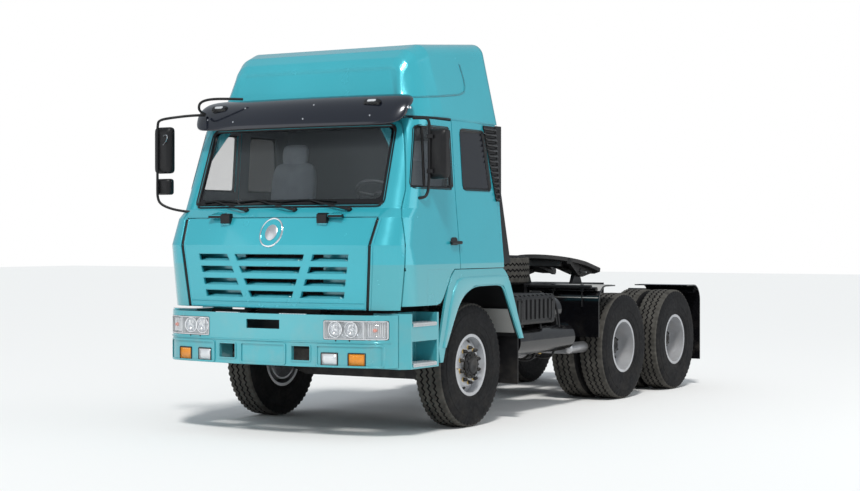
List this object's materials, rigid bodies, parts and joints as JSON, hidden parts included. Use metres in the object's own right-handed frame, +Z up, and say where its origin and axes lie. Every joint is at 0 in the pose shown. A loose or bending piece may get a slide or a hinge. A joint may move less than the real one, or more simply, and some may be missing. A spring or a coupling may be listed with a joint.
{
  "type": "semi truck tractor unit",
  "caption": "Three-axle tractor unit with a high-roof sleeper cab that tilts, steered front wheels, twin rear wheels and a rocking fifth wheel.",
  "frame": {"origin": "on the ground under the middle of the vehicle's length and width", "axes": "+X towards the front bumper, +Y to the driver's left, +Z up"},
  "size_m": [6.815, 2.76, 3.41],
  "materials": {
    "paint_turquoise": "metallic gloss",
    "paint_dark": "gloss",
    "chassis_black": "satin",
    "bare_steel": "worn",
    "cast_iron": "rough",
    "rim_silver": "satin",
    "tyre": "matt",
    "black_plastic": "matt",
    "grey_plastic": "matt",
    "fabric_grey": "woven",
    "glass": "clear",
    "dark_glass": "dark",
    "lamp_glass": "clear",
    "aluminium": "chequered"
  },
  "bodies": {
    "chassis": {"frame_rails": "chassis_black", "frame_crossmembers": "chassis_black", "engine_block": "cast_iron", "radiator": "chassis_black", "front_axle_beam": "chassis_black", "front_springs": "chassis_black", "rear_axles": "chassis_black", "rear_springs": "chassis_black", "battery_box": "black_plastic", "air_tanks": "chassis_black", "exhaust": "bare_steel", "fuel_tank": "aluminium", "spare_tyre": "tyre", "spare_carrier": "chassis_black", "fifth_wheel_base": "chassis_black", "rear_mudguards": "grey_plastic", "bumper": "paint_turquoise", "lamps": "lamp_glass", "step_boxes": "paint_turquoise", "front_fenders": "paint_turquoise", "fender_liners": "black_plastic"},
    "cab": {"cab_floor": "paint_turquoise", "cab_sides": "paint_turquoise", "cab_back": "paint_turquoise", "cab_front": "paint_turquoise", "cab_roof": "paint_turquoise", "cab_glass": "glass", "sun_visor": "paint_dark", "dashboard": "grey_plastic", "steering_wheel": "black_plastic", "seats": "fabric_grey", "mirror_right": "black_plastic", "air_intake": "black_plastic"},
    "front_lid": {"front_lid": "paint_turquoise"},
    "door_left": {"door_left": "paint_turquoise", "door_glass_left": "glass", "mirror_left": "black_plastic"},
    "door_right": {"door_right": "paint_turquoise", "door_glass_right": "glass"},
    "knuckle_left": {"knuckle_left": "cast_iron"},
    "knuckle_right": {"knuckle_right": "cast_iron"},
    "tie_rod": {"tie_rod": "bare_steel"},
    "fifth_wheel": {"fifth_wheel_plate": "cast_iron"},
    "wheel_front_left": {"tyre_front_left": "tyre", "rim_front_left": "rim_silver"},
    "wheels_middle_left": {"tyres_middle_left": "tyre", "rims_middle_left": "rim_silver"},
    "wheels_rear_left": {"tyres_rear_left": "tyre", "rims_rear_left": "rim_silver"},
    "wheel_front_right": {"tyre_front_right": "tyre", "rim_front_right": "rim_silver"},
    "wheels_middle_right": {"tyres_middle_right": "tyre", "rims_middle_right": "rim_silver"},
    "wheels_rear_right": {"tyres_rear_right": "tyre", "rims_rear_right": "rim_silver"}
  },
  "joints": [
    {"name": "cab_tilt", "type": "hinge", "parent": "chassis", "child": "cab", "pos_m": [3.2925, 0, 0.8], "axis": [0, 1, 0], "range_deg": [0, 55]},
    {"name": "front_lid_lift", "type": "hinge", "parent": "cab", "child": "front_lid", "pos_m": [3.2405, 0, 1.843], "axis": [0, -1, 0], "range_deg": [0, 80]},
    {"name": "door_left_swing", "type": "hinge", "parent": "cab", "child": "door_left", "pos_m": [3.0425, 1.193, 1.5], "axis": [0, 0, -1], "range_deg": [0, 70]},
    {"name": "door_right_swing", "type": "hinge", "parent": "cab", "child": "door_right", "pos_m": [3.0425, -1.193, 1.5], "axis": [0, 0, 1], "range_deg": [0, 70]},
    {"name": "steer_left", "type": "hinge", "parent": "chassis", "child": "knuckle_left", "pos_m": [1.8725, 0.89, 0.545], "axis": [0, 0, 1], "range_deg": [-35, 35]},
    {"name": "steer_right", "type": "hinge", "parent": "chassis", "child": "knuckle_right", "pos_m": [1.8725, -0.89, 0.545], "axis": [0, 0, 1], "range_deg": [-35, 35]},
    {"name": "tie_rod_pivot", "type": "hinge", "parent": "knuckle_left", "child": "tie_rod", "pos_m": [1.6525, 0.83, 0.43], "axis": [0, 0, 1], "range_deg": [-37.5, 37.5]},
    {"name": "fifth_wheel_tilt", "type": "hinge", "parent": "chassis", "child": "fifth_wheel", "pos_m": [-1.8925, 0, 1.295], "axis": [0, 1, 0], "range_deg": [0, 24]},
    {"name": "wheel_front_left_spin", "type": "hinge", "parent": "knuckle_left", "child": "wheel_front_left", "pos_m": [1.8725, 1.01, 0.545], "axis": [0, 1, 0], "continuous": true},
    {"name": "wheels_middle_left_spin", "type": "hinge", "parent": "chassis", "child": "wheels_middle_left", "pos_m": [-1.2775, 0.88, 0.545], "axis": [0, 1, 0], "continuous": true},
    {"name": "wheels_rear_left_spin", "type": "hinge", "parent": "chassis", "child": "wheels_rear_left", "pos_m": [-2.6275, 0.88, 0.545], "axis": [0, 1, 0], "continuous": true},
    {"name": "wheel_front_right_spin", "type": "hinge", "parent": "knuckle_right", "child": "wheel_front_right", "pos_m": [1.8725, -1.01, 0.545], "axis": [0, 1, 0], "continuous": true},
    {"name": "wheels_middle_right_spin", "type": "hinge", "parent": "chassis", "child": "wheels_middle_right", "pos_m": [-1.2775, -0.88, 0.545], "axis": [0, 1, 0], "continuous": true},
    {"name": "wheels_rear_right_spin", "type": "hinge", "parent": "chassis", "child": "wheels_rear_right", "pos_m": [-2.6275, -0.88, 0.545], "axis": [0, 1, 0], "continuous": true}
  ],
  "couplings": [
    {"joint": "steer_right", "follows": "steer_left", "ratio": 1},
    {"joint": "tie_rod_pivot", "follows": "steer_left", "ratio": -1.067}
  ]
}
